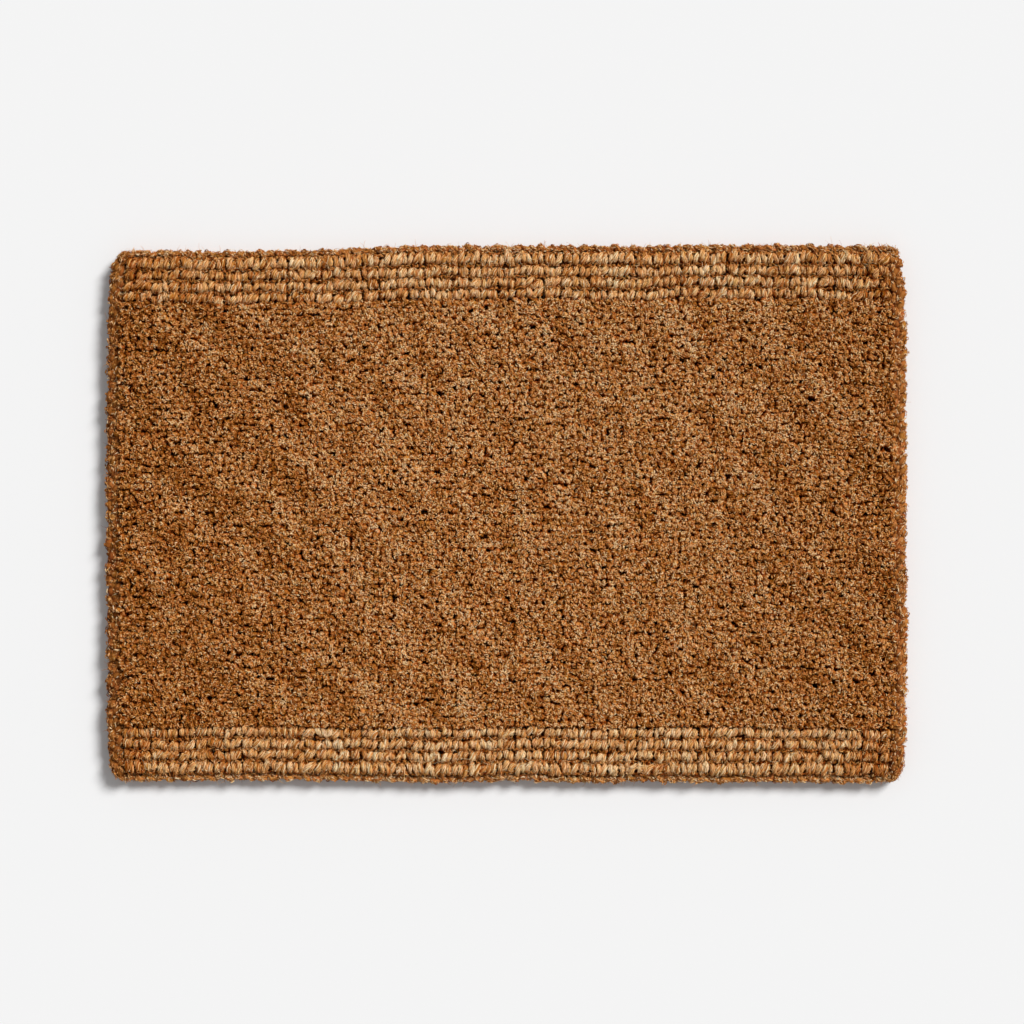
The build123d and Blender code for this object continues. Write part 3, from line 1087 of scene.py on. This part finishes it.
def seam_stitches(material):
    """The twine that sews each braid to the pile: one wavy length in each of the four seams."""
    low, high = box_mm("sewing_twine")
    rng = np.random.default_rng(5000)
    batches = []
    for axis, area in ((1, (0, 0, 1, 0.5)), (0, (0, 0.5, 1, 1))):
        places = [low[1 - axis] + TWINE_INSET, high[1 - axis] - TWINE_INSET]
        paths = level_lines(low, high, axis, places, TWINE_RING_LENGTH)
        paths[..., 2] += STITCH_RISE * np.sin(paths[..., axis] / STITCH_LENGTH * TURN)
        radii = np.full(paths.shape[:2], TWINE_RADIUS)
        tint = np.full(2, TWINE_TONE)
        batches.append(tubes(paths, radii, 6, tint, UP, area, rng, lengthwise=True))
    piece = make_piece("sewing_stitches", batches, material)
    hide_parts("sewing_twine")


def ground_weave(material):
    """The woven ground: stuffer warps of four yarns, chain warps of three, and wefts between the rows."""
    low, high = box_mm("stuffer_warps")
    stuffers = np.linspace(low[0] + STUFFER_INSET, high[0] - STUFFER_INSET, STUFFER_COUNT)
    chains = (stuffers[:-1] + stuffers[1:]) / 2
    stuffer_yarns = (stuffers[:, None] + STUFFER_YARN_PLACES).ravel()
    chain_yarns = (chains[:, None] + CHAIN_YARN_PLACES).ravel()
    row_middles = sorted(sum(box_mm(node))[1] / 2 for node in CUT_ROWS + LOOP_ROWS)
    wefts = np.array([(a + b) / 2 for a, b in zip(row_middles, row_middles[1:])])
    row_pitch = (row_middles[-1] - row_middles[0]) / (len(row_middles) - 1)
    straight, over_and_under, over_warps = (0.0, 40.0), (0.3, row_pitch * 2), (0.2, 43.0)
    for node, name, places, axis, radius, ring_length, weave, slot in (
        ("stuffer_warps", "stuffer_yarns", stuffer_yarns, 1, 1.45, 11.0, straight, "warp_yarn"),
        ("chain_warps", "chain_yarns", chain_yarns, 1, 1.2, 8.0, over_and_under, "warp_yarn"),
        ("weft_cords", "weft_yarns", wefts, 0, 2.2, 6.0, over_warps, "weft_yarn"),
    ):
        ground_yarns(node, name, places, axis, radius, ring_length, weave, material)


def build_mat():
    cut_coir = coir("cut_coir_fibre", CUT_SHADES, 1.5, (0.66, 0.97), 0.5, 0.7)
    loop_coir = coir("loop_coir_yarn", LOOP_SHADES, 2.1, (0.6, 0.94), 0.5, 0.65)
    braid_coir = coir("braid_coir_yarn", BRAID_SHADES, 1.3, (0.3, 0.85), 0.6, 0.7)
    ground_coir = coir("ground_coir_yarn", BRAID_SHADES, 1.2, (0.3, 0.85), 0.5, 0.75)
    for number, node in enumerate(CUT_ROWS):
        cut_pile_row(node, number, cut_coir)
    for number, node in enumerate(LOOP_ROWS):
        loop_row(node, number, loop_coir)
    # The left braid's tone is lower than the right's: painted shade on the side away from the key light.
    edge_braid("edge_braid_left", 0, -1, 0.48, braid_coir)
    edge_braid("edge_braid_right", 1, 1, 0.58, braid_coir)
    edge_braid("edge_braid_front", 2, -1, 0.70, braid_coir)
    edge_braid("edge_braid_back", 3, 1, 0.60, braid_coir)
    ground_weave(ground_coir)
    seam_stitches(ground_coir)


# ---- stage

def build_floor():
    reach = FLOOR_REACH
    corners = [(-reach, -reach, 0), (reach, -reach, 0), (reach, reach, 0), (-reach, reach, 0)]
    mesh = bpy.data.meshes.new("floor")
    mesh.from_pydata(corners, [], [(0, 1, 2, 3)])
    floor = bpy.data.objects.new("floor", mesh)
    bpy.context.scene.collection.objects.link(floor)
    pale = bpy.data.materials.new("pale_floor")
    pale.use_nodes = True
    shader = pale.node_tree.nodes["Principled BSDF"]
    shader.inputs["Base Color"].default_value = FLOOR_COLOUR
    shader.inputs["Roughness"].default_value = 0.9
    shader.inputs["Specular IOR Level"].default_value = 0.1
    mesh.materials.append(pale)


def build_lights():
    """Even fill light from the world and one soft key light from the back right."""
    scene = bpy.context.scene
    world = bpy.data.worlds.new("studio")
    scene.world = world
    world.use_nodes = True
    background = world.node_tree.nodes["Background"]
    background.inputs["Color"].default_value = (1, 1, 1, 1)
    background.inputs["Strength"].default_value = FILL_STRENGTH

    key = bpy.data.lights.new("key", "SUN")
    key.energy = KEY_STRENGTH
    key.angle = math.radians(KEY_ANGLE)
    key_object = bpy.data.objects.new("key", key)
    scene.collection.objects.link(key_object)
    key_object.rotation_euler = Vector(TOWARDS_KEY).to_track_quat("Z", "Y").to_euler()


def build_camera():
    """The camera, straight above and looking down, with the mat's back edge at the top."""
    scene = bpy.context.scene
    camera_data = bpy.data.cameras.new("camera")
    camera_data.lens = LENS
    camera_data.sensor_width = SENSOR_WIDTH
    camera = bpy.data.objects.new("camera", camera_data)
    scene.collection.objects.link(camera)
    above_pile = SEEN_WIDTH * LENS / SENSOR_WIDTH
    camera.location = (*CAMERA_PLACE, above_pile + PILE_HEIGHT)
    scene.camera = camera
    scene.view_settings.view_transform = "Standard"


build_mat()
build_floor()
build_lights()
build_camera()
